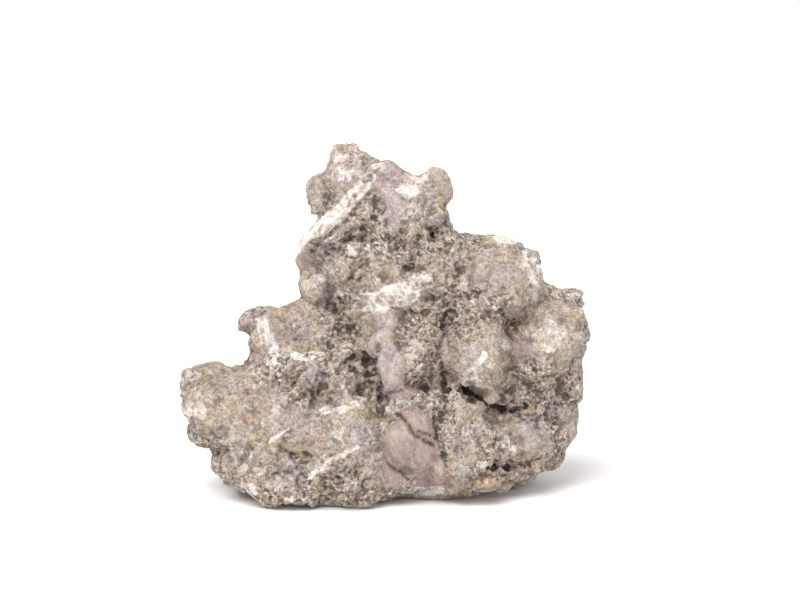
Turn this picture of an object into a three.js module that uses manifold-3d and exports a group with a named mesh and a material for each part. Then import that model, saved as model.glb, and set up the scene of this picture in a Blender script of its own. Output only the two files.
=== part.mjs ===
// A knobbly breccia stone that stands like a small crag: a tall head on a broad foot, with a low boulder
// to the left, two shoulders to the right and a smooth slab of darker rock down the middle of its front.
// It formed as one piece, so it is one solid: a cover of facets drawn tight round blocks that have grown
// together, with sharper blocks joined to it, caves cut into it, and a flat underside to rest on.
// Millimetres. X runs left to right, Y from front to back, Z up.
import * as THREE from "three";
import { ImprovedNoise } from "three/addons/math/ImprovedNoise.js";
import { mergeVertices } from "three/addons/utils/BufferGeometryUtils.js";
import Module from "manifold-3d";

// Driving dimensions.
const coverDetail = 17; // how finely the cover is divided
const coverMiddle = new THREE.Vector3(0, 2, 62); // the cover while it is still loose
const coverSize = new THREE.Vector3(150, 95, 150);
const blend = 1.5; // how softly neighbouring blocks run together
const farOff = 12; // past this distance only a block's greatest size counts
const shrunk = 1.2; // how far the blended blocks are drawn in, as their blending swells them
const sunk = 0.35; // how far a stone's middle lies in the rock, as a share of its half depth
const eye = new THREE.Vector3(7, -933, 242); // where the stone's front is looked at from
const nearest = -90; // a depth in front of the whole stone
const rockColour = 0xab9d95;

// How the cover is drawn tight.
const drawing = {
  rounds: 60, // how often each point slides to the middle of its neighbours
  settling: 15, // the last rounds, in which it slides less
  slide: 0.5,
  settlingSlide: 0.2,
  pulls: 2, // how often it is then pulled to the surface
  pull: 0.9, // the share of the way it is pulled each time
  pullMost: 6, // and the furthest
};

// Round lumps with sharp creases between them, the same all through the stone.
const lumps = [
  { width: 26, height: 5 },
  { width: 12, height: 3.2 },
];
const lumpStart = new THREE.Vector3(7.3, 3.1, 11.7);
const lumpMean = 0.4; // the usual height of a lump, as a share
const knobLumps = 0.4; // how lumpy a joined block or a cave is, as a share of the cover

// The core that everything sits on. In all the lists at is across, up and depth as seen from the eye,
// and size is half the width, depth and height. tilt turns a block's right end down, in degrees.
const core = {
  foot: { at: [0, 22, 6], size: [78, 46, 36] },
  middle: { at: [2, 62, 4], size: [62, 37, 34] },
  waist: { at: [0, 94, 5], size: [46, 31, 24] },
  neck: { at: [-4, 117, 5], size: [40, 26, 22] },
  head: { at: [-4, 143, 5], size: [30, 22, 22] },
  leftArm: { at: [-53, 44, 0], size: [22, 28, 18] },
  rightBody: { at: [60, 78, 10], size: [31, 29, 34] },
};

// The boulders that show.
const boulders = {
  peak: { at: [-18.5, 164, 4], size: [14.5, 16, 13] },
  leftHorn: { at: [-29, 149, -2], size: [11, 15, 14] },
  headRight: { at: [14, 146, 0], size: [15, 20, 16] },
  nape: { at: [12, 131, -1], size: [16, 22, 15] },
  saddle: { at: [40, 116, 8], size: [18, 20, 14.5] },
  leftShoulder: { at: [-46, 76, -1], size: [22, 29, 20] },
  leftBoulder: { at: [-76, 42, -10], size: [29, 33, 23] },
  leftHeel: { at: [-63, 20, -14], size: [25, 29, 25] },
  leftBelly: { at: [-43, 30, -20], size: [28, 25, 29] },
  rightShoulder: { at: [53, 105, 4], size: [23, 29, 24] },
  rightEnd: { at: [82, 77, 3], size: [20, 28, 28] },
  rightFoot: { at: [57, 22, 7], size: [31, 33, 26] },
  rightEdge: { at: [83, 38, 8], size: [16, 26, 28] },
  rightWall: { at: [33, 40, -8], size: [17, 25, 42] },
  leftToe: { at: [-48, 9, -25], size: [31, 23, 19] },
  breast: { at: [-19, 20, -27], size: [27, 22, 30] },
  backLeft: { at: [-56, 26, 26], size: [34, 26, 30] },
  backMiddle: { at: [-6, 24, 34], size: [36, 24, 32] },
  backRight: { at: [48, 32, 28], size: [36, 26, 36] },
  backShelf: { at: [-28, 70, 24], size: [30, 22, 24] },
  backSpur: { at: [18, 84, 24], size: [24, 22, 34] },
  backHead: { at: [-8, 124, 20], size: [25, 19, 28] },
};

// Single stones in the front, pressed into what is there where no depth is given.
const stones = {
  mauveTop: { at: [3.5, 155, -8], size: [4.5, 10, 10], tilt: 8 },
  whiteKnob: { at: [12, 152.5], size: [7, 5, 5.5] },
  napeRight: { at: [26, 136.5], size: [7, 6, 7] },
  underBrow: { at: [-14, 131], size: [8, 5, 5.5] },
  whiteApron: { at: [4, 99], size: [18, 7, 8] },
  rimKnob: { at: [-57, 90, -2], size: [8, 8, 5.5] },
  shoulderFace: { at: [-58, 78], size: [10, 6, 9] },
  darkRound: { at: [-37, 58], size: [8, 6, 7.5] },
  columnTop: { at: [-0.5, 86], size: [7, 7, 7] },
  lilacSlab: { at: [73, 29], size: [7, 6, 12], tilt: 12 },
  boulderFace: { at: [-76, 46], size: [13, 7, 12] },
  peachRidge: { at: [-27, 14], size: [15, 5, 4.5], tilt: -37 },
  saddlePatch: { at: [-22, 42], size: [10, 6, 5.5] },
};

// Hollows between the blocks.
const hollows = {
  cavity: { at: [-23.5, 94.5], size: [8, 7, 5] },
  neckGap: { at: [-3, 119], size: [17, 7, 4.5] },
  gully: { at: [-36, 48], size: [14, 7, 4.5], tilt: 38 },
  valley: { at: [61, 81], size: [19, 7, 4.5], tilt: 46 },
  boulderNotch: { at: [-98, 36.5, -12], size: [6, 12, 2] },
};

// The shallow gaps under the stone's front edge. at is x, y and z.
const groundGaps = {
  leftGap: { at: [-42, -44, 0], size: [19, 14, 2.6] },
  rightGap: { at: [34, -36, 0], size: [13, 16, 2.6] },
  endGap: { at: [70, -40, 0], size: [36, 38, 9] },
};

// Blocks that stand out of the cover with sharp edges.
const knobs = {
  rightBoulder: { at: [46, 67, -13], size: [19, 21, 22], square: 3 },
  brow: { at: [-25, 134.5, -9], size: [29, 14, 9.5], tilt: -42, square: 4 },
  hornKnob: { at: [-31, 149, -3], size: [9, 13, 12] },
  rightHorn: { at: [23, 152.5, 0], size: [11.5, 12, 11] },
  slab: { at: [13, 24, -29], size: [15.5, 15, 27], square: 4, bite: 0.3 },
  leftCorner: { at: [-55, 77, 0], size: [12.5, 20, 13] },
  crest: { at: [-3, 162, 2], size: [11, 12, 7.5] },
  leftClast: { at: [-37, 117, 0], size: [7.5, 9, 6] },
  oliveKnob: { at: [-35, 106, 0], size: [9, 12, 12] },
  cornerKnob: { at: [-66, 86.5, 0], size: [8, 10, 8] },
  columnMiddle: { at: [-1, 73], size: [8, 8, 11] },
  columnFoot: { at: [4, 59], size: [9, 7, 11] },
  whiteTip: { at: [57, 124, 2], size: [10, 12, 6] },
  endKnob: { at: [94, 97, 2], size: [6.5, 10, 7] },
  orangeStone: { at: [51, 4], size: [9, 8, 6] },
  ochreKnob: { at: [-96, 55, -10], size: [8, 12, 9] },
  topKnob: { at: [-86, 60, -12], size: [10, 12, 6.5] },
  lowKnob: { at: [-96, 42, -10], size: [6, 10, 6.5] },
  darkHang: { at: [-92, 29, -8], size: [9, 13, 7.5] },
  peakRight: { at: [-9.5, 164.5, 2], size: [11, 10, 6.5], tilt: 24 },
  flank: { at: [70, 112, 4], size: [9, 14, 12] },
  edgeKnob: { at: [90, 58, 4], size: [10.5, 14, 15] },
};

// Caves cut deep into the front.
const caves = {
  pocket: { at: [-13, 60], size: [8, 9, 15], tilt: 6 },
  overhangLeft: { at: [44, 48.5], size: [11, 12, 5], tilt: 20 },
  overhangRight: { at: [59, 42], size: [14, 10, 4.5], tilt: 16 },
  slot: { at: [60, 12.5], size: [16, 12, 3.2], tilt: 3 },
};

const wasm = await Module();
wasm.setup();
const noise = new ImprovedNoise();

// Repeatable random numbers from 0 to 1.
function randomFrom(seed) {
  let state = seed;
  return () => {
    state = (state + 0x6d2b79f5) | 0;
    let mixed = Math.imul(state ^ (state >>> 15), 1 | state);
    mixed = (mixed + Math.imul(mixed ^ (mixed >>> 7), 61 | mixed)) ^ mixed;
    return ((mixed ^ (mixed >>> 14)) >>> 0) / 2 ** 32;
  };
}

function randomDirection(random) {
  const up = 2 * random() - 1;
  const turn = 2 * Math.PI * random();
  const side = Math.sqrt(1 - up * up);
  return new THREE.Vector3(side * Math.cos(turn), side * Math.sin(turn), up);
}

// A place given as the eye sees it against the upright plane y = 0, at its own depth behind that plane.
function seen(across, up, depth) {
  const share = (depth - eye.y) / -eye.y;
  return new THREE.Vector3(eye.x + (across - eye.x) * share, depth, eye.z + (up - eye.z) * share);
}

let made = 0;

// A squared-off ball, chipped flat by random planes, stretched and turned. Each block has its own chips.
function block({ at, size, tilt = 0, square = 2.7, chips = 16, bite = 0.34 }) {
  made += 1;
  const random = randomFrom(made);
  const planes = [];
  for (let i = 0; i < chips; i++) {
    const distance = 1.04 - bite * random();
    planes.push(randomDirection(random).divideScalar(distance));
  }
  const turn = new THREE.Quaternion().setFromEuler(new THREE.Euler(0, THREE.MathUtils.degToRad(tilt), 0));
  const reach = Math.max(...size);
  return { at, size: new THREE.Vector3(...size), reach, square, planes, turn, back: turn.clone().invert() };
}

// How far out a place lies in a block, from 0 in its middle to 1 on its surface. The place is given along
// the block's own directions, as shares of its size.
function shareOf({ square, planes }, { x, y, z }) {
  let share = (Math.abs(x) ** square + Math.abs(y) ** square + Math.abs(z) ** square) ** (1 / square);
  for (const plane of planes) share = Math.max(share, plane.x * x + plane.y * y + plane.z * z);
  return share;
}

// How far a place lies outside a block, measured towards its middle, and less than zero inside it.
const local = new THREE.Vector3();
function outside(block, place) {
  local.copy(place).sub(block.at);
  const away = local.length();
  if (away > block.reach + farOff) return away - block.reach;
  local.applyQuaternion(block.back).divide(block.size);
  return away - away / Math.max(shareOf(block, local), 1e-6);
}

// How far a place lies outside the blended blocks, less the hollows.
function outsideAll(blocks, cuts, place) {
  let sum = 0;
  for (const one of blocks) sum += Math.exp(-outside(one, place) / blend);
  let distance = shrunk - blend * Math.log(sum);
  for (const cut of cuts) distance = Math.max(distance, -outside(cut, place));
  return distance;
}

// The direction out of the blended blocks at a place.
function wayOut(blocks, cuts, place, distance) {
  const step = 0.2;
  const way = new THREE.Vector3();
  for (const axis of ["x", "y", "z"]) {
    const beside = place.clone();
    beside[axis] += step;
    way[axis] = outsideAll(blocks, cuts, beside) - distance;
  }
  return way.normalize();
}

// Moves a place along a direction until it meets the blocks. The steps are short, as distances towards a
// block's middle are a little too long.
function meet(blocks, cuts, place, direction) {
  const steps = 60;
  const caution = 0.6;
  for (let i = 0; i < steps; i++) place.addScaledVector(direction, caution * outsideAll(blocks, cuts, place));
  return place;
}

// A block for an item of a list, where the eye sees it: at its own depth, or else on the front.
function placed(item, front) {
  const [across, up, depth] = item.at;
  if (depth !== undefined) return block({ ...item, at: seen(across, up, depth) });
  const sight = seen(across, up, 0).sub(eye).normalize();
  const at = meet(front, [], seen(across, up, nearest), sight);
  const further = item.cut ? 0 : sunk * item.size[1];
  return block({ ...item, at: at.addScaledVector(sight, further) });
}

function lumpHeight(place) {
  let height = 0;
  for (const lump of lumps) {
    const [x, y, z] = place.clone().divideScalar(lump.width).add(lumpStart);
    height += lump.height * (2 * Math.abs(noise.noise(x, y, z)) - lumpMean);
  }
  return height;
}

// A closed geometry with nothing but its corner points, each held once.
function onlyPlaces(geometry) {
  geometry.deleteAttribute("normal");
  geometry.deleteAttribute("uv");
  return mergeVertices(geometry, 1e-5);
}

// For each corner point of a geometry, the numbers of the points beside it.
function neighbours(geometry) {
  const corners = geometry.index.array;
  const beside = Array.from({ length: geometry.getAttribute("position").count }, () => new Set());
  for (let i = 0; i < corners.length; i += 3) {
    for (let j = 0; j < 3; j++) {
      beside[corners[i + j]].add(corners[i + ((j + 1) % 3)]);
      beside[corners[i + j]].add(corners[i + ((j + 2) % 3)]);
    }
  }
  return beside;
}

// The loose cover, drawn in until it meets the blocks, spread evenly over them and made lumpy.
function drawTight(blocks, cuts) {
  const shape = onlyPlaces(new THREE.IcosahedronGeometry(1, coverDetail));
  const points = shape.getAttribute("position");
  const beside = neighbours(shape);
  const places = beside.map((_, i) => {
    const place = new THREE.Vector3().fromBufferAttribute(points, i).multiply(coverSize);
    const inward = place.clone().normalize().negate();
    return meet(blocks, cuts, place.add(coverMiddle), inward);
  });
  for (let round = 0; round < drawing.rounds; round++) {
    const settling = round >= drawing.rounds - drawing.settling;
    const slide = settling ? drawing.settlingSlide : drawing.slide;
    const middles = places.map((place, i) => {
      const middle = new THREE.Vector3();
      for (const other of beside[i]) middle.add(places[other]);
      return middle.divideScalar(beside[i].size).lerp(place, 1 - slide);
    });
    places.forEach((place, i) => {
      place.copy(middles[i]);
      for (let j = 0; j < drawing.pulls; j++) {
        const distance = outsideAll(blocks, cuts, place);
        const pull = drawing.pull * THREE.MathUtils.clamp(distance, -drawing.pullMost, drawing.pullMost);
        place.addScaledVector(wayOut(blocks, cuts, place, distance), -pull);
      }
    });
  }
  places.forEach((place, i) => {
    const distance = outsideAll(blocks, cuts, place);
    place.addScaledVector(wayOut(blocks, cuts, place, distance), lumpHeight(place));
    points.setXYZ(i, place.x, place.y, place.z);
  });
  return solid(shape);
}

// A block by itself, as a ball of facets, finer where it is large.
function ballOf(block) {
  const large = 12;
  const mean = Math.cbrt(block.size.x * block.size.y * block.size.z);
  const shape = onlyPlaces(new THREE.IcosahedronGeometry(1, mean > large ? 3 : 1));
  const points = shape.getAttribute("position");
  const place = new THREE.Vector3();
  for (let i = 0; i < points.count; i++) {
    place.fromBufferAttribute(points, i);
    place.divideScalar(shareOf(block, place)).multiply(block.size).applyQuaternion(block.turn);
    const out = place.clone().normalize();
    place.add(block.at).addScaledVector(out, knobLumps * lumpHeight(place));
    points.setXYZ(i, place.x, place.y, place.z);
  }
  return solid(shape);
}

function solid(geometry) {
  return new wasm.Manifold(
    new wasm.Mesh({
      numProp: 3,
      vertProperties: new Float32Array(geometry.getAttribute("position").array),
      triVerts: new Uint32Array(geometry.index.array),
    }),
  );
}

function geometryOf(body) {
  const mesh = body.getMesh();
  const shape = new THREE.BufferGeometry();
  shape.setAttribute("position", new THREE.BufferAttribute(new Float32Array(mesh.vertProperties), 3));
  shape.setIndex(new THREE.BufferAttribute(new Uint32Array(mesh.triVerts), 1));
  return shape;
}

const front = [...Object.values(core), ...Object.values(boulders)].map((item) => placed(item, []));
const pressedIn = Object.values(stones).map((item) => placed(item, front));
const cuts = Object.values(hollows).map((item) => placed({ ...item, cut: true }, front));
for (const gap of Object.values(groundGaps)) cuts.push(block({ ...gap, at: new THREE.Vector3(...gap.at) }));

let rock = drawTight([...front, ...pressedIn], cuts);
for (const item of Object.values(knobs)) rock = rock.add(ballOf(placed(item, front)));
for (const item of Object.values(caves)) rock = rock.subtract(ballOf(placed({ ...item, cut: true }, front)));

// The underside is cut off flat, and a chip that the caves cut loose is left out.
const half = 200;
const above = new THREE.BoxGeometry(2 * half, 2 * half, 2 * half).translate(0, 0, half);
rock = rock.intersect(solid(onlyPlaces(above)));
rock = rock.decompose().sort((a, b) => b.volume() - a.volume())[0];

// The origin is on the ground, under the middle of the stone.
const shape = geometryOf(rock);
shape.computeBoundingBox();
const middle = shape.boundingBox.getCenter(new THREE.Vector3());
shape.translate(-middle.x, -middle.y, 0);

const stone = new THREE.Group();
const mesh = new THREE.Mesh(
  shape,
  new THREE.MeshStandardMaterial({ color: rockColour, roughness: 0.95, metalness: 0, flatShading: true }),
);
mesh.name = "rock";
stone.add(mesh);

export default stone;
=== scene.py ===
# aquascaping rock: a knobbly breccia stone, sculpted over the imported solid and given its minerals
import math

import bmesh
import bpy
import numpy as np
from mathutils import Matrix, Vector, noise
from mathutils.bvhtree import BVHTree


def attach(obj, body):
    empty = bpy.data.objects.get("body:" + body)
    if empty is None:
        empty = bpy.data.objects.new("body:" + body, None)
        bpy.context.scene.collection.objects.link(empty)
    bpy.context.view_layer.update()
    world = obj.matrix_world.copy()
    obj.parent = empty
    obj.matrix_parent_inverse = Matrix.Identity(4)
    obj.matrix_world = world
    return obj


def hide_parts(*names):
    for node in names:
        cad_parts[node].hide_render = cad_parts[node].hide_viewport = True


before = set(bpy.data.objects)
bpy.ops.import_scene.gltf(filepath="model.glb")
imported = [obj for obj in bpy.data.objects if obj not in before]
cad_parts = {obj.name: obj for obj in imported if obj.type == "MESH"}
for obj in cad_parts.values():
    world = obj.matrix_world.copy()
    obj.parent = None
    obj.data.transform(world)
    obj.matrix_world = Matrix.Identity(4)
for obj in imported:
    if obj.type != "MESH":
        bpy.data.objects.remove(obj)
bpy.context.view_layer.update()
mm = 0.001

# the view the photograph was taken from, in millimetres in the part's frame
shot = {
    "eye": (7.2, -937.1, 242.0),
    "aim": (7.2, -4.1, 94.4),
    "lens": 85,
    "sensor": 36,
    "backPlane": -4.1,  # the upright plane that across and up are measured on
}

studio = {
    "sun": {"from": (-0.35, -0.62, 0.95), "strength": 2.85, "angle": 38},  # wide and soft, high on the left
    "fill": {"from": (0.9, -0.9, 0.5), "aim": (0, 0, 0.08), "size": 0.9, "watts": 2.0},
    "sky": 0.83,
    "backdrop": 1.0,
    "air": "#ffffff",
    "floor": {"half": 60, "colour": "#f6f5f4", "roughness": 0.8},
}


def linear(hexColour):
    parts = [int(hexColour[i:i + 2], 16) / 255 for i in (1, 3, 5)]
    return [p / 12.92 if p <= 0.04045 else ((p + 0.055) / 1.055) ** 2.4 for p in parts] + [1.0]


def addNode(tree, kind, settings=None, inputs=None, out=0, stops=None):
    # an input can be a number, a hex colour or the output of another node
    node = tree.nodes.new(kind)
    for name, value in (settings or {}).items():
        setattr(node, name, value)
    for name, value in (inputs or {}).items():
        if isinstance(value, bpy.types.NodeSocket):
            tree.links.new(value, node.inputs[name])
        else:
            node.inputs[name].default_value = linear(value) if isinstance(value, str) else value
    for i, (position, colour) in enumerate(stops or []):
        steps = node.color_ramp.elements
        step = steps[i] if i < 2 else steps.new(1.0)
        step.position = position
        step.color = linear(colour)
    return node.outputs[out] if node.outputs else node


def lookAt(thing, place, aim):
    thing.location = place
    thing.rotation_euler = (Vector(aim) - Vector(place)).to_track_quat("-Z", "Y").to_euler()


def addObject(name, data):
    thing = bpy.data.objects.new(name, data)
    bpy.context.scene.collection.objects.link(thing)
    return thing


print("camera and light")
cameraData = bpy.data.cameras.new("camera")
cameraData.lens = shot["lens"]
cameraData.sensor_width = shot["sensor"]
camera = addObject("camera", cameraData)
lookAt(camera, [v * mm for v in shot["eye"]], [v * mm for v in shot["aim"]])
bpy.context.scene.camera = camera
bpy.context.scene.view_settings.view_transform = "Standard"

sunData = bpy.data.lights.new("sun", "SUN")
sunData.energy = studio["sun"]["strength"]
sunData.angle = math.radians(studio["sun"]["angle"])
lookAt(addObject("sun", sunData), studio["sun"]["from"], (0, 0, 0))
fillData = bpy.data.lights.new("fill", "AREA")
fillData.size = studio["fill"]["size"]
fillData.energy = studio["fill"]["watts"]
lookAt(addObject("fill", fillData), studio["fill"]["from"], studio["fill"]["aim"])

world = bpy.data.worlds.new("studio")
bpy.context.scene.world = world
world.use_nodes = True
air = world.node_tree
air.nodes.clear()
straight = addNode(air, "ShaderNodeLightPath", out="Is Camera Ray")
sky = addNode(air, "ShaderNodeBackground", None, {"Color": studio["air"], "Strength": studio["sky"]})
backdrop = addNode(air, "ShaderNodeBackground", None, {
    "Color": studio["air"], "Strength": studio["backdrop"]})
around = addNode(air, "ShaderNodeMixShader", None, {0: straight, 1: sky, 2: backdrop})
addNode(air, "ShaderNodeOutputWorld", None, {"Surface": around})


# the stone's shape, in millimetres: an edge is the pair of values that something sets in between
stone = {
    "firstVoxel": 1.5,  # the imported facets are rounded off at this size
    "rounding": 5,
    "secondVoxel": 0.9,
    "triangles": 192000,
    "foot": (0.3, 4),  # the heights that the forms set in between, over the flat underside
    "footShare": 0.1,
    "fineFoot": (0.1, 2),
    "rise": 0.8,  # how far the smooth mauve and lilac rock stands out
    "lumps": [{"width": 21, "height": 1.8}, {"width": 9, "height": 0.6}],  # round, with creases between
    # broken pieces in the rubble: how far they stand out, how much their faces tilt, how deep the gaps are
    "clasts": [
        {"width": 15.0, "proud": 1.2, "tilt": 0.14, "gap": 0.7, "gapWidth": 0.05},
        {"width": 6.2, "proud": 0.8, "tilt": 0.20, "gap": 0.4, "gapWidth": 0.09},
        {"width": 3.2, "proud": 0.5, "tilt": 0.24, "gap": 0.3, "gapWidth": 0.14},
    ],
    # the pieces where it is most broken up
    "crumble": {"width": 4.8, "proud": 1.3, "tilt": 0.30, "gap": 0.4, "gapWidth": 0.10},
    "clastSways": [(0.22, 1.7), (0.10, 4.1)],  # how far outlines swing, and how finely
    "gapsOpen": {"widths": 2.5, "edge": (-0.2, 0.3)},  # elsewhere the gaps are filled up
    "filling": {"width": 6, "height": 3.6, "edge": (-0.25, 0.35)},  # loose lumps that close the caves in
    # how broken up the stone is: areas by noise, and how much the areas marked on the front add or take away
    "rubble": {"width": 30, "finer": 2.5, "fineShare": 0.5, "broken": 0.5, "calm": 0.6, "edge": (-0.35, 0.4),
               "least": 0.12},
    "grains": [{"width": 3.4, "height": 0.40}, {"width": 1.8, "height": 0.45}],
    # short crooked crevices: the swing of the lines, their half width as a share of it, and their depth
    "crevices": [{"width": 14, "half": 0.04, "depth": 1.6}, {"width": 7.0, "half": 0.06, "depth": 0.8}],
    "fineCrevices": [{"width": 4.0, "half": 0.10, "depth": 0.7}],
    "creviceSways": [(0.25, 2.3), (0.10, 5.9)],
    "creviceBreaks": {"widths": 1.3, "edge": (-0.05, 0.2)},  # elsewhere a line stops for a while
    "cutEdge": (0.3, 1.2),
    # how much of each form is gone on the even rock, which is smooth or white, or on the most broken rock
    "fades": {"rubbleOnEven": 0.9, "lumpsOnEven": 0.7, "crevicesOnBroken": 0.6, "grainsOnSmooth": 0.8},
    "leastLumps": 0.4,
    "leastGrains": 0.5,
    "whiteIsEven": 0.7,
    "seenWithin": 2.5,  # so near behind what the eye meets first, a place still counts as seen
    "seenRounds": 2,
}

# each form reads the noise at a place of its own
seeds = {
    "rubble": 3, "fineRubble": 5, "lumps": 10, "filling": 18, "clasts": 20, "grains": 30, "wander": (40, 41),
    "streaks": 55, "elsewhere": 60, "gapsOpen": 70, "crevices": 80, "fineCrevices": 90, "creviceBreaks": 9,
}
seedSteps = (17.3, 5.1, 9.7)
noise.seed_set(7)  # without it the noise vectors change from run to run

# marks on the front, as across and up on the upright plane through the stone's middle, in millimetres:
# spots are (across, up, half width, half height, tilt, strength), strokes are (points, half width, strength)
marks = {
    "mauve": {  # the flat slab low on the front, and patches like it
        "spots": [
            (-39.5, 117.2, 5.0, 4.0, 0, 1.0), (-25, 159, 4, 6, 0, 0.5),
            (8, 51, 7.5, 5, 0, 1.0), (53.5, 112, 18, 8, 0, 0.4),
            (-62, 67.8, 5, 7.8, 0, 0.5), (13, 23, 13, 19, 6, 1.0),
            (22, 10, 8, 9, 0, 1.0), (5, 12, 7, 12, 0, 1.0),
        ],
        "strokes": [
            ([(48, 95), (56.5, 82.5), (73.5, 69.8)], 3.5, 0.7),
        ],
    },
    "lilac": {  # the paler column above the slab, and the top of the head
        "spots": [(-54, 49, 6, 4, 0, 0.4), (92, 92, 4, 6, 0, 0.3)],
        "strokes": [
            ([(5, 166), (-1, 157)], 4.4, 1.0),
            ([(-1, 157), (3, 146), (5, 136)], 3.6, 1.0),
            ([(-0.5, 88), (-1.5, 78), (2, 66.8), (5, 54)], 5.5, 1.0),
        ],
    },
    "white": {
        "spots": [
            (12, 151.2, 6, 3.2, 0, 1.0), (17, 160, 6, 5, 0, 0.5), (8, 100.5, 12, 7, -12, 0.85),
            (-22, 166, 11, 10, 0, 0.5), (-7, 95.5, 9, 5.5, 10, 0.85), (17, 107, 7, 4, 0, 0.6),
            (-17, 101, 6, 3, 0, 0.5), (-30, 109, 6, 5, 0, 0.5), (14, 141, 9, 7, 0, 0.5),
            (-6, 124, 14, 5, 0, 0.4), (36, 109, 7, 6, 0, 0.35), (60.5, 128.6, 7.5, 3.4, 0, 1.0),
            (83, 78.4, 8.6, 8.6, 0, 0.55), (-99.5, 39.5, 4.5, 2.6, 0, 0.9), (48.5, 14.2, 3.6, 1.8, 0, 0.9),
            (-71.5, -1, 8, 4.5, 0, 0.7), (20.5, -1, 9.5, 3, 0, 0.8), (0.5, 42.5, 1.8, 1.8, 0, 1.0),
            (74, 111.8, 4.5, 8, 0, 0.6), (55, 93, 2, 2, 0, 1.0), (-75.5, 18.7, 4.4, 3, 0, 0.7),
            (-32, 105.8, 4, 4, 0, 0.5), (-16.5, 123, 3, 4, 0, 0.7), (-2, 78, 4, 6, 0, 0.35),
        ],
        "strokes": [
            ([(-7.5, 158.5), (-22, 142), (-42, 124)], 3.6, 1.0),  # the band across the head
            ([(-2, 165), (-13, 158)], 1.2, 0.7),
            ([(-36, 138), (-44, 127)], 2.6, 0.9),
            ([(-56, 68.5), (-33, 69.8)], 1.8, 0.7),
            ([(-62, 86), (-58, 76), (-57, 65)], 3.4, 0.8),
            ([(69.5, 121), (68.5, 115)], 1.7, 1.0),
            ([(50, 69.5), (44, 61.5)], 1.8, 1.0),
            ([(-49, 32.9), (-58.5, 25.8)], 1.4, 0.9),
            ([(-15, 22.8), (-24, 17), (-40, 5.6)], 2.2, 0.8),
            ([(-32, 41), (-22, 40.5), (-13, 46)], 2.4, 0.9),
        ],
    },
    "ochre": {
        "spots": [
            (-69, 37, 3.4, 2.8, 0, 0.9), (-93, 57, 5, 5, 0, 0.6), (4, 77.4, 2, 2, 0, 1.0),
            (95.5, 89.6, 2.6, 2.6, 0, 1.0), (70.5, 41, 2.6, 2.6, 0, 1.0), (51.5, 3, 7, 3.2, 0, 1.0),
            (-97.5, 55.7, 7, 7, 0, 0.4), (46, 68, 12, 21, 0, 0.3), (-60, 20, 12, 14, 0, 0.3),
        ],
        "strokes": [([(8.5, 35.4), (14.5, 31.4)], 0.9, 1.0)],
    },
    "blue": {
        "spots": [
            (-42, 79, 9, 6, 0, 0.6), (-26.5, 122, 7, 5, 0, 0.7), (-37, 57.7, 6.4, 6.4, 0, 0.6),
            (26, 136.6, 6, 6, 0, 0.6), (-31, 150, 5, 8, 0, 0.5), (73, 29.3, 6, 11, 22, 0.8),
            (-44, 35, 12, 8, 0, 0.5), (-30, 98, 6, 5, 0, 0.8), (84, 60, 8, 14, 0, 0.4),
            (-56, 50, 8, 5, 0, 0.5), (20, 97, 8, 6, 0, 0.4), (-20, 2, 12, 4, 0, 0.5),
            (86, 84, 5, 10, 0, 0.4), (-70, 12, 8, 6, 0, 0.4),
        ],
        "strokes": [],
    },
    "umber": {
        "spots": [
            (28, 68, 11, 17, 0, 0.9), (53, 50, 14, 5, 15, 1.0), (60, 98, 14, 7, 0, 0.5),
            (-14, 112, 10, 6, 0, 0.8), (72, 12, 18, 9, 0, 0.7), (40, 4, 12, 5, 0, 1.0),
            (-40, 24, 13, 7, 0, 0.5), (-50, 60, 10, 5, 0, 0.5), (66, 70, 6, 14, 30, 0.6),
            (-30, 12, 16, 6, 0, 0.4), (-24, 62, 8, 8, 0, 0.5), (88, 40, 8, 14, 0, 0.5),
            (-88, 62, 10, 3, 0, 0.6), (-46, 92, 8, 4, 0, 0.6),
        ],
        "strokes": [],
    },
    "shadeAndDirt": {  # painted shade: dark pockets and the bottoms of cracks
        "spots": [
            (-12, 60.7, 8, 15, 0, 0.7), (11, 9.5, 3.5, 3, 0, 1.0), (-23.5, 94.6, 6.6, 4.6, 0, 0.9),
            (44.5, 49, 6, 2.6, 0, 1.0), (57, 40.5, 8, 2.6, 0, 1.0), (24.5, 130, 4, 5, 0, 0.8),
            (-96.5, 31, 5, 5, 0, 0.6), (62, 90, 5, 6, 0, 0.5), (-48, 14, 12, 6, 0, 0.4),
        ],
        "strokes": [
            ([(-44.5, 55.7), (-26.5, 41.5)], 3.2, 0.6),
            ([(4.5, 40), (13, 31.4), (20, 24.3), (26, 21)], 0.9, 0.5),
            ([(17, 30), (25, 25.8)], 0.8, 0.5),
            ([(1, 14), (12, 4)], 0.7, 0.4),
            ([(-9, 157), (-22, 139), (-41, 121)], 0.9, 0.8),
        ],
    },
}

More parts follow.
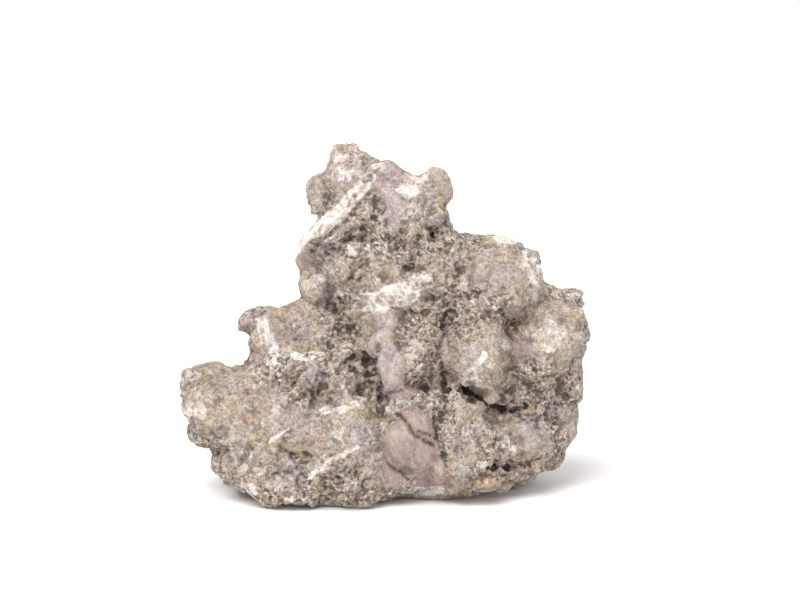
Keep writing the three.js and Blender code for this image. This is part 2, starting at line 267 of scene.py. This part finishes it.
# parts of the front that differ in shape, written as the marks are
areas = {
    "filled": {  # caves closed in by loose lumps
        "spots": [(51, 46, 22, 7, 20, 1.0), (61, 12.5, 17, 4, 3, 0.8), (-12, 60, 7, 14, 0, 0.5)],
        "strokes": [],
    },
    "calm": {
        "spots": [
            (-76, 45, 24, 17, 0, 0.9), (46, 67, 16, 17, 0, 0.8), (84, 80, 14, 15, 0, 0.7),
            (57, 113, 17, 11, 0, 0.6), (-62, 12, 17, 12, 0, 0.6), (-30, 27, 14, 8, 0, 0.6),
            (14, 148, 9, 9, 0, 0.8), (-20, 166, 9, 7, 0, 0.6), (-52, 78, 12, 8, 0, 0.6),
            (74, 27, 10, 12, 0, 0.7), (-38, 112, 6, 10, 0, 0.5), (38, 20, 8, 12, 0, 0.5),
        ],
        "strokes": [([(-4, 160), (-44, 124)], 5.0, 1.0)],
    },
    "broken": {
        "spots": [
            (-5, 124, 32, 7, 0, 0.9), (-24, 94, 12, 8, 0, 0.9), (38, 98, 12, 9, 0, 0.7),
            (52, 47, 24, 6, 20, 0.9), (-45, 50, 14, 6, 0, 0.7), (-92, 28, 9, 6, 0, 0.9),
            (-46, 18, 14, 6, 0, 0.8), (72, 8, 20, 7, 0, 0.8), (-14, 62, 9, 16, 0, 0.7),
            (22, 75, 6, 18, 0, 0.6), (-33, 150, 7, 9, 0, 0.7), (24, 138, 8, 9, 0, 0.6),
            (-30, 5, 20, 6, 0, 0.7), (62, 82, 12, 6, 40, 0.7), (-14, 112, 10, 6, 0, 0.8),
        ],
        "strokes": [],
    },
}

# how marks are drawn: their outlines wander with the rock, and a stroke is streaked along its length
drawing = {
    "wander": {"width": 9, "reach": 2.2},
    "edge": (-1.25, -0.75),  # a mark fades out from 0.75 to 1.25 of its half width
    "streaks": {"length": 9, "width": 1.7, "edge": (-0.45, 0.05), "least": 0.6},
}

# corners taken off the front's outline: across, up, the way the new face looks in degrees, and its reach
trims = [(-12, 172.5, 59, 15), (101.5, 81, 0, 13), (89.5, 17, -31, 15)]
trimFade = 0.8  # the share of its reach over which a new face stays whole

# cracks and crevices cut into the front: points, half width, depth
cuts = [
    ([(4.5, 40), (13, 31.4), (20, 24.3), (24, 22.8)], 1.0, 3.2),
    ([(17, 30), (25, 25.8)], 0.8, 2.4),
    ([(1, 14), (12, 4)], 0.8, 2.0),
    ([(0, 50), (9.6, 51.6)], 0.8, 1.4),
    ([(-32, 75.4), (-26.5, 72.9)], 1.0, 2.6),
    ([(-56, 21.3), (-40.5, 17.2)], 1.4, 3.2),
    ([(-56, 8.6), (-49, 8.6)], 1.1, 2.2),
    ([(38, 52.6), (48, 47), (59.5, 41), (70.5, 44)], 2.4, 5.0),
    ([(48, 14.2), (60, 11.6), (73.5, 12.6)], 1.7, 4.0),
    ([(-6, 153), (-20.5, 135.5), (-38, 124)], 1.1, 2.6),
    ([(-4, 74.4), (-5.5, 60.7), (-2.5, 47)], 1.7, 3.6),
    ([(56.5, 26.3), (57, 26)], 1.4, 4.0),
    ([(24.5, 130), (25, 129.5)], 2.2, 3.2),
    ([(31, 90), (27, 70), (30, 50)], 1.6, 2.2),
    ([(24.5, 40), (27, 24), (31, 8)], 1.4, 3.0),
]


def pointsOf(mesh):
    flat = np.empty(len(mesh.vertices) * 3)
    mesh.vertices.foreach_get("co", flat)
    return flat.reshape(-1, 3) / mm


def normalsOf(mesh):
    flat = np.empty(len(mesh.vertices) * 3)
    mesh.vertex_normals.foreach_get("vector", flat)
    return flat.reshape(-1, 3)


def edgesOf(mesh):
    flat = np.empty(len(mesh.edges) * 2, dtype=np.int64)
    mesh.edges.foreach_get("vertices", flat)
    return flat.reshape(-1, 2)


def movePoints(mesh, places):
    # nothing goes under the ground, so the flat underside stays flat
    places[:, 2] = np.maximum(places[:, 2], 0)
    mesh.vertices.foreach_set("co", (places * mm).ravel())
    mesh.update()


def smoothed(values, edges, rounds):
    # each value moves halfway to the mean of its neighbours, again and again
    now = values.reshape(len(values), -1).copy()
    count = np.bincount(edges.ravel(), minlength=len(now))
    start, end = edges.T
    for _ in range(rounds):
        for column in now.T:
            total = np.bincount(start, column[end], len(now)) + np.bincount(end, column[start], len(now))
            column[:] = 0.5 * column + 0.5 * total / np.maximum(count, 1)
    return now.reshape(values.shape)


def ramp(values, low, high):
    t = np.clip((values - low) / (high - low), 0, 1)
    return t * t * (3 - 2 * t)


def fromLeast(least, share):
    # the least at a share of 0, and 1 at a share of 1
    return least + (1 - least) * share


def apart(seed):
    return Vector([seed * step for step in seedSteps])


def noiseAt(places, width, seed):
    away = apart(seed)
    return np.array([noise.noise(Vector(p) + away) for p in places / width])


def swayed(here, sways):
    # moved by coarse and fine noise, so that lines and outlines are crooked
    return here + sum((reach * noise.noise_vector(here * fineness) for reach, fineness in sways), Vector())


def crevicesAt(places, crevice, seed):
    # 1 along crooked lines, which break off and start again
    away, breaks = apart(seed), stone["creviceBreaks"]
    here = [swayed(Vector(p) + away, stone["creviceSways"]) for p in places / crevice["width"]]
    line = 1 - ramp(np.array([abs(noise.noise(h)) for h in here]), 0, crevice["half"])
    goesOn = noiseAt(places, breaks["widths"] * crevice["width"], seed + seeds["creviceBreaks"])
    return line * ramp(goesOn, *breaks["edge"])


def clastsAt(places, width, seed):
    # the broken piece that each place belongs to: a random number, the lie of its face, how near its edge is
    away = apart(seed)
    scatter = 37.7  # takes the pieces' middles to cells of noise far apart
    pick, lie, gap = [], [], []
    for p in places / width:
        here = swayed(Vector(p) + away, stone["clastSways"])
        distances, middles = noise.voronoi(here)
        own = noise.cell_vector(middles[0] * scatter)
        pick.append(own[0])
        lie.append((here - middles[0]).dot(own * 2 - Vector((1, 1, 1))))
        gap.append(distances[1] - distances[0])
    return np.array(pick), np.array(lie), np.array(gap)


def asSeen(places):
    # across and up on the upright plane, as the eye sees each place
    eye = np.array(shot["eye"])
    share = (shot["backPlane"] - eye[1]) / (places[:, 1] - eye[1])
    flat = eye[[0, 2]] + (places[:, [0, 2]] - eye[[0, 2]]) * share[:, None]
    wander = drawing["wander"]
    astray = [noiseAt(places, wander["width"], seed) for seed in seeds["wander"]]
    return flat + wander["reach"] * np.stack(astray, 1)


def inSight(mesh, places):
    # 1 where the eye sees the surface, 0 behind it
    tree = BVHTree.FromPolygons([v.co.copy() for v in mesh.vertices], [p.vertices[:] for p in mesh.polygons])
    eye = Vector(shot["eye"]) * mm
    seen = np.zeros(len(places))
    for i, place in enumerate(places * mm):
        way = Vector(place) - eye
        hit = tree.ray_cast(eye, way.normalized(), way.length)
        seen[i] = hit[0] is None or hit[3] > way.length - stone["seenWithin"] * mm
    return seen


def strokeDistance(flat, points):
    nearest = np.full(len(flat), np.inf)
    for start, end in zip(points, points[1:]):
        a, b = np.array(start, float), np.array(end, float)
        t = np.clip((flat - a) @ (b - a) / ((b - a) @ (b - a)), 0, 1)
        nearest = np.minimum(nearest, np.linalg.norm(flat - a - t[:, None] * (b - a), axis=1))
    return nearest


def streaksAlong(flat, points):
    # thin streaks that run the way a stroke runs
    streaks = drawing["streaks"]
    way = np.array(points[-1], float) - points[0]
    way /= np.linalg.norm(way)
    along, over = flat @ way, flat @ np.array((-way[1], way[0]))
    drawn = np.stack([along / streaks["length"], over / streaks["width"], 0 * along], 1)
    return ramp(noiseAt(drawn, 1, seeds["streaks"]), *streaks["edge"])


def trimmed(places, flat):
    for across, up, facing, reach in trims:
        way = np.array((math.cos(math.radians(facing)), math.sin(math.radians(facing))))
        off = flat - (across, up)
        over = np.maximum(off @ way, 0) * (1 - ramp(np.hypot(*off.T), trimFade * reach, reach))
        places[:, [0, 2]] -= over[:, None] * way
    return places


def markMask(flat, mark):
    # how strongly a mark shows at each place, from 0 to 1
    mask = np.zeros(len(flat))
    for across, up, halfWidth, halfHeight, tilt, strength in mark["spots"]:
        turn = math.radians(tilt)
        x, z = flat[:, 0] - across, flat[:, 1] - up
        along = x * math.cos(turn) - z * math.sin(turn)
        over = x * math.sin(turn) + z * math.cos(turn)
        spot = strength * ramp(-np.hypot(along / halfWidth, over / halfHeight), *drawing["edge"])
        mask = np.maximum(mask, spot)
    for points, halfWidth, strength in mark["strokes"]:
        stroke = strength * ramp(-strokeDistance(flat, points) / halfWidth, *drawing["edge"])
        near = stroke > 0
        stroke[near] *= fromLeast(drawing["streaks"]["least"], streaksAlong(flat[near], points))
        mask = np.maximum(mask, stroke)
    return mask


def applied(thing):
    graph = bpy.context.evaluated_depsgraph_get()
    mesh = bpy.data.meshes.new_from_object(thing.evaluated_get(graph))
    thing.modifiers.clear()
    thing.data = mesh
    return mesh


def remeshed(thing, voxel):
    modifier = thing.modifiers.new("remesh", "REMESH")
    modifier.mode = "VOXEL"
    modifier.voxel_size = voxel * mm
    mesh = applied(thing)
    dropCrumbs(mesh)
    return mesh


def dropCrumbs(mesh):
    # only the largest connected piece stays
    work = bmesh.new()
    work.from_mesh(mesh)
    work.verts.ensure_lookup_table()
    group = [-1] * len(work.verts)
    sizes = []
    for first in work.verts:
        if group[first.index] >= 0:
            continue
        group[first.index] = len(sizes)
        waiting, size = [first], 0
        while waiting:
            vert = waiting.pop()
            size += 1
            for edge in vert.link_edges:
                other = edge.other_vert(vert)
                if group[other.index] < 0:
                    group[other.index] = len(sizes)
                    waiting.append(other)
        sizes.append(size)
    largest = sizes.index(max(sizes))
    bmesh.ops.delete(work, geom=[v for v in work.verts if group[v.index] != largest], context="VERTS")
    work.to_mesh(mesh)
    work.free()


def rubbleAt(places, flat, seen):
    # how broken up the stone is, from 0 to 1
    rubble = stone["rubble"]
    mixed = noiseAt(places, rubble["width"], seeds["rubble"])
    mixed += rubble["fineShare"] * noiseAt(places, rubble["width"] / rubble["finer"], seeds["fineRubble"])
    mixed += seen * (rubble["broken"] * markMask(flat, areas["broken"])
                     - rubble["calm"] * markMask(flat, areas["calm"]))
    return fromLeast(rubble["least"], ramp(mixed, *rubble["edge"]))


def smoothRockAt(flat, seen):
    # the mauve and lilac rock has next to no rubble in it
    return np.maximum(markMask(flat, marks["mauve"]), markMask(flat, marks["lilac"])) * seen


def lumpsAt(places, width, seed):
    # round swellings with sharp creases between them: noise folded over at 0, brought to about -0.5 to 0.5
    return 2.4 * np.abs(noiseAt(places, width, seed)) - 0.5


print("stone: first shape")
rock = addObject("breccia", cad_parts["rock"].data.copy())
mesh = remeshed(rock, stone["firstVoxel"])
places, edges = pointsOf(mesh), edgesOf(mesh)
free = ramp(places[:, 2], *stone["foot"])
places = smoothed(places, edges, stone["rounding"])
movePoints(mesh, trimmed(places, asSeen(places)))
places = pointsOf(mesh)

print("stone: lumps, clasts and cracks", len(places))
fades = stone["fades"]
flat = asSeen(places)
seen = smoothed(inSight(mesh, places), edges, stone["seenRounds"])
smoothRock = smoothRockAt(flat, seen)
even = np.maximum(smoothRock, stone["whiteIsEven"] * markMask(flat, marks["white"]) * seen)
rubble = rubbleAt(places, flat, seen) * (1 - fades["rubbleOnEven"] * even)
broken = seen * markMask(flat, areas["broken"]) * (1 - even)
height = stone["rise"] * smoothRock
swell = fromLeast(stone["leastLumps"], rubble) * (1 - fades["lumpsOnEven"] * even)
for i, lump in enumerate(stone["lumps"]):
    height += lump["height"] * lumpsAt(places, lump["width"], seeds["lumps"] + i) * swell
pieces = [(clast, rubble) for clast in stone["clasts"]] + [(stone["crumble"], broken)]
for i, (clast, share) in enumerate(pieces):
    pick, lie, gap = clastsAt(places, clast["width"], seeds["clasts"] + i)
    edge = 1 - ramp(gap, 0, clast["gapWidth"])
    opened = noiseAt(places, stone["gapsOpen"]["widths"] * clast["width"], seeds["gapsOpen"] + i)
    opened = ramp(opened, *stone["gapsOpen"]["edge"])
    face = clast["proud"] * (pick - 0.5) + clast["tilt"] * clast["width"] * lie
    height += share * (face - clast["gap"] * edge * opened)
for i, crevice in enumerate(stone["crevices"]):
    shallow = (1 - even) * (1 - fades["crevicesOnBroken"] * broken)
    height -= crevice["depth"] * shallow * crevicesAt(places, crevice, seeds["crevices"] + i)
filling = stone["filling"]
loose = ramp(noiseAt(places, filling["width"], seeds["filling"]), *filling["edge"])
height += filling["height"] * loose * markMask(flat, areas["filled"])
for points, halfWidth, depth in cuts:
    height -= depth * seen * (1 - ramp(strokeDistance(flat, points) / halfWidth, *stone["cutEdge"]))
height *= fromLeast(stone["footShare"], free)
movePoints(mesh, places + normalsOf(mesh) * height[:, None])
mesh = remeshed(rock, stone["secondVoxel"])

print("stone: grains and pits", len(mesh.vertices))
places, edges = pointsOf(mesh), edgesOf(mesh)
flat = asSeen(places)
seen = smoothed(inSight(mesh, places), edges, stone["seenRounds"])
rough = fromLeast(stone["leastGrains"], rubbleAt(places, flat, seen))
rough *= 1 - fades["grainsOnSmooth"] * smoothRockAt(flat, seen)
height = np.zeros(len(places))
for i, grain in enumerate(stone["grains"]):
    height += rough * grain["height"] * 2 * noiseAt(places, grain["width"], seeds["grains"] + i)
for i, crevice in enumerate(stone["fineCrevices"]):
    height -= crevice["depth"] * rough * crevicesAt(places, crevice, seeds["fineCrevices"] + i)
height *= ramp(places[:, 2], *stone["fineFoot"])
movePoints(mesh, places + normalsOf(mesh) * height[:, None])
mesh.calc_loop_triangles()
fewer = rock.modifiers.new("fewer", "DECIMATE")
fewer.ratio = min(1.0, stone["triangles"] / len(mesh.loop_triangles))
fewer.use_collapse_triangulate = True
mesh = applied(rock)
print("stone: triangles", len(mesh.polygons))

# what the material reads: where each mineral and the marked painted shade lie, and how deep a place lies in
# its surroundings
reading = {
    "seenRounds": 3,
    "pit": {"rounds": 6, "depth": 0.5},
    "hollow": {"rounds": 40, "depth": 2.0},
    # the same minerals on the sides and the back, laid out by noise: their patches' size, and their edge
    "elsewhere": {
        "mauve": (30, 0.15, 0.45), "white": (20, 0.12, 0.5), "umber": (26, 0.0, 0.4),
        "ochre": (20, 0.25, 0.7), "blue": (13, 0.15, 0.5),
    },
    "elsewhereStrength": 0.7,
    "smoothFrom": 0.5,  # rock this mauve or lilac is shaded smooth, and the rubble keeps its broken facets
}
places, edges, normals = pointsOf(mesh), edgesOf(mesh), normalsOf(mesh)
flat = asSeen(places)
seen = smoothed(inSight(mesh, places), edges, reading["seenRounds"])
masks = {name: markMask(flat, mark) * seen for name, mark in marks.items()}
masks["rubble"] = rubbleAt(places, flat, seen)
for i, (name, (width, low, high)) in enumerate(reading["elsewhere"].items()):
    patches = ramp(noiseAt(places, width, seeds["elsewhere"] + i), low, high)
    masks[name] = np.maximum(masks[name], reading["elsewhereStrength"] * (1 - seen) * patches)
near = smoothed(places, edges, reading["pit"]["rounds"])
far = smoothed(near, edges, reading["hollow"]["rounds"])
masks["pit"] = np.clip(((near - places) * normals).sum(1) / reading["pit"]["depth"], -1, 1)
masks["hollow"] = np.clip(((far - near) * normals).sum(1) / reading["hollow"]["depth"], -1, 1)
corners = np.array([polygon.vertices[0] for polygon in mesh.polygons])
sleek = np.maximum(masks["mauve"], masks["lilac"])[corners] > reading["smoothFrom"]
mesh.polygons.foreach_set("use_smooth", sleek)
for name, mask in masks.items():
    mesh.attributes.new(name, "FLOAT", "POINT").data.foreach_set("value", mask)


# breccia, rubble cemented by nature and broken off: matt, grainy, every piece in its own tone
breccia = {
    "ground": [
        (0.30, "#826e66"), (0.41, "#aa9a80"), (0.49, "#928587"), (0.57, "#b9ac98"), (0.66, "#97827a"),
        (0.76, "#c5b9b2"),
    ],
    "groundWidth": 17,
    # broken pieces of each size in millimetres: their tones, the size of the areas that have them, the
    # tones' strength in calm and in broken rock, and the half width and strength of the dark seams between
    # them. The smallest are finer in the real stone, and drawn as coarse as they need to show
    "clasts": [
        {"width": 13.0, "area": 26, "calm": 0.8, "strength": 0.75, "seam": 0.35, "seamStrength": 0.8,
         "tones": [
            (0.0, "#8f766f"), (0.18, "#bbad8f"), (0.36, "#9a8f91"), (0.52, "#cdc2b8"), (0.66, "#a58e71"),
            (0.82, "#a89ea4")]},
        {"width": 6.2, "area": 18, "calm": 0.6, "strength": 0.75, "seam": 0.34, "seamStrength": 0.95,
         "tones": [
            (0.0, "#807376"), (0.16, "#b7a788"), (0.32, "#927970"), (0.46, "#cbc1b6"), (0.60, "#8d7f86"),
            (0.72, "#6b5b4e"), (0.84, "#b0997a"), (0.93, "#dcd3ca")]},
        {"width": 2.8, "area": 11, "calm": 0.2, "strength": 0.65, "seam": 0.24, "seamStrength": 0.95,
         "tones": [
            (0.0, "#63564d"), (0.2, "#a89984"), (0.45, "#bcada3"), (0.62, "#89797a"), (0.78, "#d2c7bd"),
            (0.9, "#9b8465")]},
        {"width": 1.3, "area": 8, "calm": 0.2, "strength": 0.6, "seam": 0.13, "seamStrength": 0.7,
         "tones": [
            (0.0, "#41362e"), (0.2, "#85766c"), (0.45, "#aa9c8d"), (0.75, "#c8bcb3"), (0.92, "#e2d9d2")]},
    ],
    "clastSway": {"finer": 1.4, "reach": 0.9},  # crooked outlines, not the straight sides of plain cells
    "clastAreas": (0.40, 0.54),
    "seamsOpen": {"widths": 1.7, "edge": (0.45, 0.56), "calm": 0.35},  # elsewhere there is no seam
    "seamEdge": (1.3, 0.5),  # a seam darkens from 1.3 to 0.5 of its half width
    # minerals over the ground: the mask, how ragged its edge is, and its tones
    "minerals": [
        {"mask": "umber", "ragged": 6.0, "sway": 2.4, "least": 0.40, "full": 0.9, "strength": 0.65,
         "grain": 3.0, "tones": [(0.30, "#5c4d46"), (0.5, "#7c6861"), (0.70, "#9c877f")]},
        {"mask": "blue", "ragged": 6.0, "sway": 1.8, "least": 0.36, "full": 0.8, "strength": 0.7,
         "grain": 3.5, "tones": [(0.35, "#786e6e"), (0.65, "#a89f9e")]},
        {"mask": "mauve", "ragged": 5.0, "sway": 1.2, "least": 0.38, "full": 0.6, "strength": 0.9,
         "grain": 2.0, "tones": [(0.30, "#7a6763"), (0.5, "#937e79"), (0.70, "#af9c96")]},
        {"mask": "lilac", "ragged": 5.0, "sway": 1.2, "least": 0.38, "full": 0.6, "strength": 0.9,
         "grain": 2.0, "tones": [(0.30, "#8a7a77"), (0.5, "#a19190"), (0.70, "#c3b7b4")]},
        {"mask": "ochre", "ragged": 3.0, "sway": 2.0, "least": 0.45, "full": 0.95, "strength": 0.5,
         "grain": 2.0, "tones": [(0.35, "#99794f"), (0.65, "#b99b72")]},
        {"mask": "white", "ragged": 6.0, "sway": 2.2, "least": 0.36, "full": 0.8, "strength": 0.92,
         "grain": 2.8, "tones": [(0.32, "#b3a69c"), (0.5, "#dbd2cc"), (0.7, "#f0ebe8")]},
    ],
    # thin lines that all run down to the right, as the layers the stone was squeezed into do
    "lines": {"tilt": -30, "stretch": 5, "width": 1.5, "strength": 0.35},
    "grit": {"width": 0.8, "strength": 0.9},  # finer in the real stone, drawn as coarse as it needs to show
    "seam": "#463a31",
    "ridgeHighlight": {"colour": "#c9bdb0", "edge": (-0.15, -0.9), "strength": 0.25},  # painted highlight: ridges and edges made paler
    # painted shade in the marked pockets, in pits and in hollows, with the stone's own dark specks
    "shadeAndDirt": {
        "colour": "#40342c", "marked": 0.5, "pits": (0.12, 0.6), "calm": 0.35, "broken": 0.55,
        "hollows": (0.1, 0.9), "hollowStrength": 0.42, "specks": 1.8, "speckEdge": (0.40, 0.30),
        "speckStrength": 0.7,
    },
    "crumbs": {"width": 1.2, "strength": 0.9, "height": 0.7},  # drawn coarser than the real ones, to show
    "roughness": 0.9,
    "ior": 1.5,
}
perMetre = 1000  # a pattern so many millimetres wide has this divided by them as its scale
mixShare, mixUnder, mixOver, mixOut = 0, 6, 7, 2  # the sockets of a Mix node that mixes colours


def withClasts(tree, place, rubbly, under, clast):
    # the tones of one size of broken piece over the areas that have them, and dark seams between some of them
    scale = perMetre / clast["width"]
    sway, gapsOpen = breccia["clastSway"], breccia["seamsOpen"]
    areaStart, areaFull = breccia["clastAreas"]
    seamStart, seamFull = breccia["seamEdge"]
    swing = addNode(tree, "ShaderNodeTexNoise", None, {
        "Vector": place, "Scale": sway["finer"] * scale, "Detail": 3}, "Color")
    reach = sway["reach"] * clast["width"] * mm
    spot = addNode(tree, "ShaderNodeVectorMath", {"operation": "MULTIPLY_ADD"}, {
        0: swing, 1: (reach, reach, reach), 2: place})
    area = addNode(tree, "ShaderNodeTexNoise", None, {
        "Vector": spot, "Scale": perMetre / clast["area"], "Detail": 3})
    most = addNode(tree, "ShaderNodeMapRange", None, {
        "Value": rubbly, "To Min": clast["calm"], "To Max": clast["strength"]})
    share = addNode(tree, "ShaderNodeMapRange", {"interpolation_type": "SMOOTHSTEP"}, {
        "Value": area, "From Min": areaStart, "From Max": areaFull, "To Max": most})
    cell = addNode(tree, "ShaderNodeTexVoronoi", None, {"Vector": spot, "Scale": scale}, "Color")
    pick = addNode(tree, "ShaderNodeSeparateColor", None, {"Color": cell})
    tone = addNode(tree, "ShaderNodeValToRGB", None, {"Fac": pick}, stops=clast["tones"])
    toned = addNode(tree, "ShaderNodeMix", {"data_type": "RGBA"}, {
        mixShare: share, mixUnder: under, mixOver: tone}, mixOut)
    side = addNode(tree, "ShaderNodeTexVoronoi", {"feature": "DISTANCE_TO_EDGE"}, {
        "Vector": spot, "Scale": scale})
    gaps = addNode(tree, "ShaderNodeTexNoise", None, {
        "Vector": spot, "Scale": scale / gapsOpen["widths"], "Detail": 2})
    widest = addNode(tree, "ShaderNodeMapRange", None, {
        "Value": rubbly, "To Min": gapsOpen["calm"] * clast["seamStrength"],
        "To Max": clast["seamStrength"]})
    opened = addNode(tree, "ShaderNodeMapRange", None, {
        "Value": gaps, "From Min": gapsOpen["edge"][0], "From Max": gapsOpen["edge"][1], "To Max": widest})
    seam = addNode(tree, "ShaderNodeMapRange", None, {
        "Value": side, "From Min": seamStart * clast["seam"] / clast["width"],
        "From Max": seamFull * clast["seam"] / clast["width"], "To Max": opened})
    return addNode(tree, "ShaderNodeMix", {"data_type": "RGBA"}, {
        mixShare: seam, mixUnder: toned, mixOver: breccia["seam"]}, mixOut)


def withMineral(tree, place, grained, under, mineral):
    # one mineral where its mask says, with a ragged edge and grains of its own tones
    mask = addNode(tree, "ShaderNodeAttribute", {"attribute_name": mineral["mask"]}, out="Fac")
    ragged = addNode(tree, "ShaderNodeTexNoise", None, {
        "Vector": place, "Scale": perMetre / mineral["ragged"], "Detail": 5, "Roughness": 0.68})
    lifted = addNode(tree, "ShaderNodeMath", {"operation": "MULTIPLY_ADD"}, {
        0: ragged, 1: mineral["sway"], 2: mask})
    share = addNode(tree, "ShaderNodeMapRange", {"interpolation_type": "SMOOTHSTEP"}, {
        "Value": lifted, "From Min": mineral["least"] + mineral["sway"] / 2,
        "From Max": mineral["full"] + mineral["sway"] / 2, "To Max": mineral["strength"]})
    grain = addNode(tree, "ShaderNodeTexNoise", None, {
        "Vector": grained, "Scale": perMetre / mineral["grain"], "Detail": 5, "Roughness": 0.6})
    tone = addNode(tree, "ShaderNodeValToRGB", None, {"Fac": grain}, stops=mineral["tones"])
    return addNode(tree, "ShaderNodeMix", {"data_type": "RGBA"}, {
        mixShare: share, mixUnder: under, mixOver: tone}, mixOut)


print("stone: material")
material = bpy.data.materials.new("breccia")
material.use_nodes = True
tree = material.node_tree
shader = tree.nodes["Principled BSDF"]
place = addNode(tree, "ShaderNodeTexCoord", out="Object")
# pit and hollow say how deep a place lies; the last one marks where shade is painted
rubbly, pit, hollow, markedShade = [
    addNode(tree, "ShaderNodeAttribute", {"attribute_name": name}, out="Fac")
    for name in ("rubble", "pit", "hollow", "shadeAndDirt")]

# the ground, the broken pieces and the minerals
mottle = addNode(tree, "ShaderNodeTexNoise", None, {
    "Vector": place, "Scale": perMetre / breccia["groundWidth"], "Detail": 6, "Roughness": 0.62})
colour = addNode(tree, "ShaderNodeValToRGB", None, {"Fac": mottle}, stops=breccia["ground"])
for clast in breccia["clasts"]:
    colour = withClasts(tree, place, rubbly, colour, clast)
lines = breccia["lines"]
alongLines = addNode(tree, "ShaderNodeMapping", {"vector_type": "TEXTURE"}, {
    "Vector": place, "Rotation": (0, math.radians(lines["tilt"]), 0), "Scale": (1, 1, lines["stretch"])})
for mineral in breccia["minerals"]:
    colour = withMineral(tree, place, alongLines if mineral["mask"] == "mauve" else place, colour, mineral)

# thin lines and grit
streak = addNode(tree, "ShaderNodeTexNoise", None, {
    "Vector": alongLines, "Scale": perMetre / lines["width"], "Detail": 4, "Roughness": 0.6})
grit = addNode(tree, "ShaderNodeTexNoise", None, {
    "Vector": place, "Scale": perMetre / breccia["grit"]["width"], "Detail": 3, "Roughness": 0.8})
for strength, pattern in ((lines["strength"], streak), (breccia["grit"]["strength"], grit)):
    colour = addNode(tree, "ShaderNodeMix", {"data_type": "RGBA", "blend_type": "OVERLAY"}, {
        mixShare: strength, mixUnder: colour, mixOver: pattern}, mixOut)

# painted highlight: ridges and edges made paler
ridgeHighlight = breccia["ridgeHighlight"]
highlighted = addNode(tree, "ShaderNodeMapRange", None, {
    "Value": pit, "From Min": ridgeHighlight["edge"][0], "From Max": ridgeHighlight["edge"][1], "To Max": ridgeHighlight["strength"]})
colour = addNode(tree, "ShaderNodeMix", {"data_type": "RGBA"}, {
    mixShare: highlighted, mixUnder: colour, mixOver: ridgeHighlight["colour"]}, mixOut)

# painted shade where it is marked, in pits and in hollows, and the stone's own dark specks
shadeAndDirt = breccia["shadeAndDirt"]
most = addNode(tree, "ShaderNodeMapRange", None, {
    "Value": rubbly, "To Min": shadeAndDirt["calm"], "To Max": shadeAndDirt["broken"]})
inPits = addNode(tree, "ShaderNodeMapRange", None, {
    "Value": pit, "From Min": shadeAndDirt["pits"][0], "From Max": shadeAndDirt["pits"][1], "To Max": most})
inHollows = addNode(tree, "ShaderNodeMapRange", None, {
    "Value": hollow, "From Min": shadeAndDirt["hollows"][0], "From Max": shadeAndDirt["hollows"][1],
    "To Max": shadeAndDirt["hollowStrength"]})
speck = addNode(tree, "ShaderNodeTexNoise", None, {
    "Vector": place, "Scale": perMetre / shadeAndDirt["specks"], "Detail": 4, "Roughness": 0.7})
inSpecks = addNode(tree, "ShaderNodeMapRange", None, {
    "Value": speck, "From Min": shadeAndDirt["speckEdge"][0], "From Max": shadeAndDirt["speckEdge"][1],
    "To Max": shadeAndDirt["speckStrength"]})
shadeAndSpecks = addNode(tree, "ShaderNodeMath", {"operation": "MULTIPLY_ADD"}, {
    0: markedShade, 1: shadeAndDirt["marked"], 2: inPits})
shadeAndSpecks = addNode(tree, "ShaderNodeMath", {"operation": "ADD"}, {0: shadeAndSpecks, 1: inHollows})
shadeAndSpecks = addNode(tree, "ShaderNodeMath", {"operation": "ADD", "use_clamp": True}, {0: shadeAndSpecks, 1: inSpecks})
colour = addNode(tree, "ShaderNodeMix", {"data_type": "RGBA"}, {
    mixShare: shadeAndSpecks, mixUnder: colour, mixOver: shadeAndDirt["colour"]}, mixOut)
tree.links.new(colour, shader.inputs["Base Color"])

crumbs = breccia["crumbs"]
crumb = addNode(tree, "ShaderNodeTexNoise", None, {
    "Vector": place, "Scale": perMetre / crumbs["width"], "Detail": 4, "Roughness": 0.7})
bump = addNode(tree, "ShaderNodeBump", None, {
    "Height": crumb, "Strength": crumbs["strength"], "Distance": crumbs["height"] * mm})
tree.links.new(bump, shader.inputs["Normal"])
shader.inputs["Roughness"].default_value = breccia["roughness"]
shader.inputs["IOR"].default_value = breccia["ior"]
mesh.materials.clear()
mesh.materials.append(material)
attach(rock, "root")
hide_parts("rock")

print("floor")
floorMesh = bpy.data.meshes.new("floor")
half = studio["floor"]["half"]
ends = [(-half, -half, 0), (half, -half, 0), (half, half, 0), (-half, half, 0)]
floorMesh.from_pydata(ends, [], [(0, 1, 2, 3)])
paint = bpy.data.materials.new("matt paint")  # an even, unpatterned studio ground
paint.use_nodes = True
painted = paint.node_tree.nodes["Principled BSDF"]
painted.inputs["Base Color"].default_value = linear(studio["floor"]["colour"])
painted.inputs["Roughness"].default_value = studio["floor"]["roughness"]
floorMesh.materials.append(paint)
addObject("floor", floorMesh)
